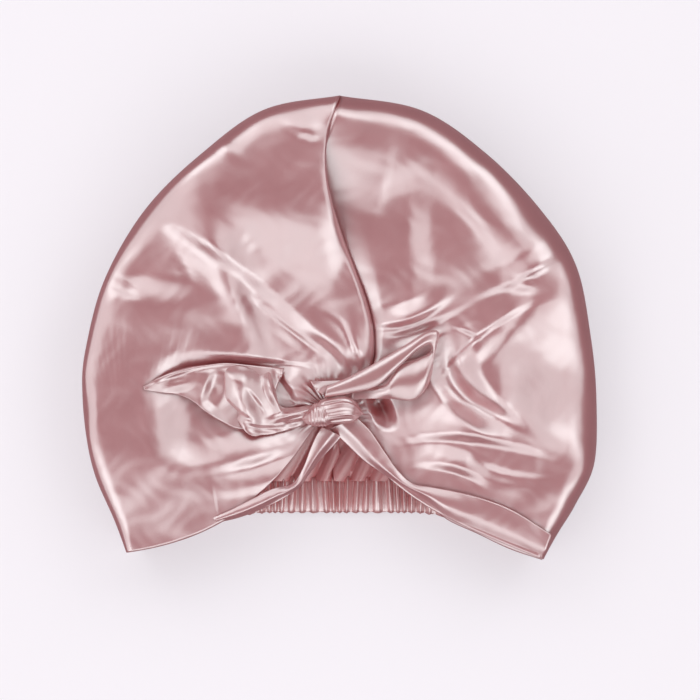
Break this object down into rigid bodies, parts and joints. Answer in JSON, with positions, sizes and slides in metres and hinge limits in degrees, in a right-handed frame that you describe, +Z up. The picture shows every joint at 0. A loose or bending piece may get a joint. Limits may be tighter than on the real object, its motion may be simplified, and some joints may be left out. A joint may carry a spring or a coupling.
{
  "type": "satin hair turban",
  "caption": "Satin hair turban lying on its back: two puffed halves lapped along a centre seam, gathered into a knotted bow above an open mouth with an elastic nape casing.",
  "frame": {"origin": "under the middle of the whole turban, on the table it lies on", "axes": "+X to the wearer's left, +Y to the top of the crown, +Z up from the table through the front"},
  "size_m": [0.3003, 0.2694, 0.0608],
  "materials": {
    "crown_satin": "pink silk satin, high sheen",
    "tie_satin": "pink silk satin, high sheen",
    "casing_satin": "pink silk satin, ruched on elastic"
  },
  "bodies": {
    "root": {"crown_right": "crown_satin", "crown_left": "crown_satin", "nape_casing": "casing_satin", "hem_strip_right": "crown_satin", "hem_strip_left": "crown_satin", "knot": "tie_satin", "bow_loop_right": "tie_satin", "tie_tail_right": "tie_satin", "bow_loop_left": "tie_satin", "tie_tail_left": "tie_satin"}
  },
  "joints": []
}
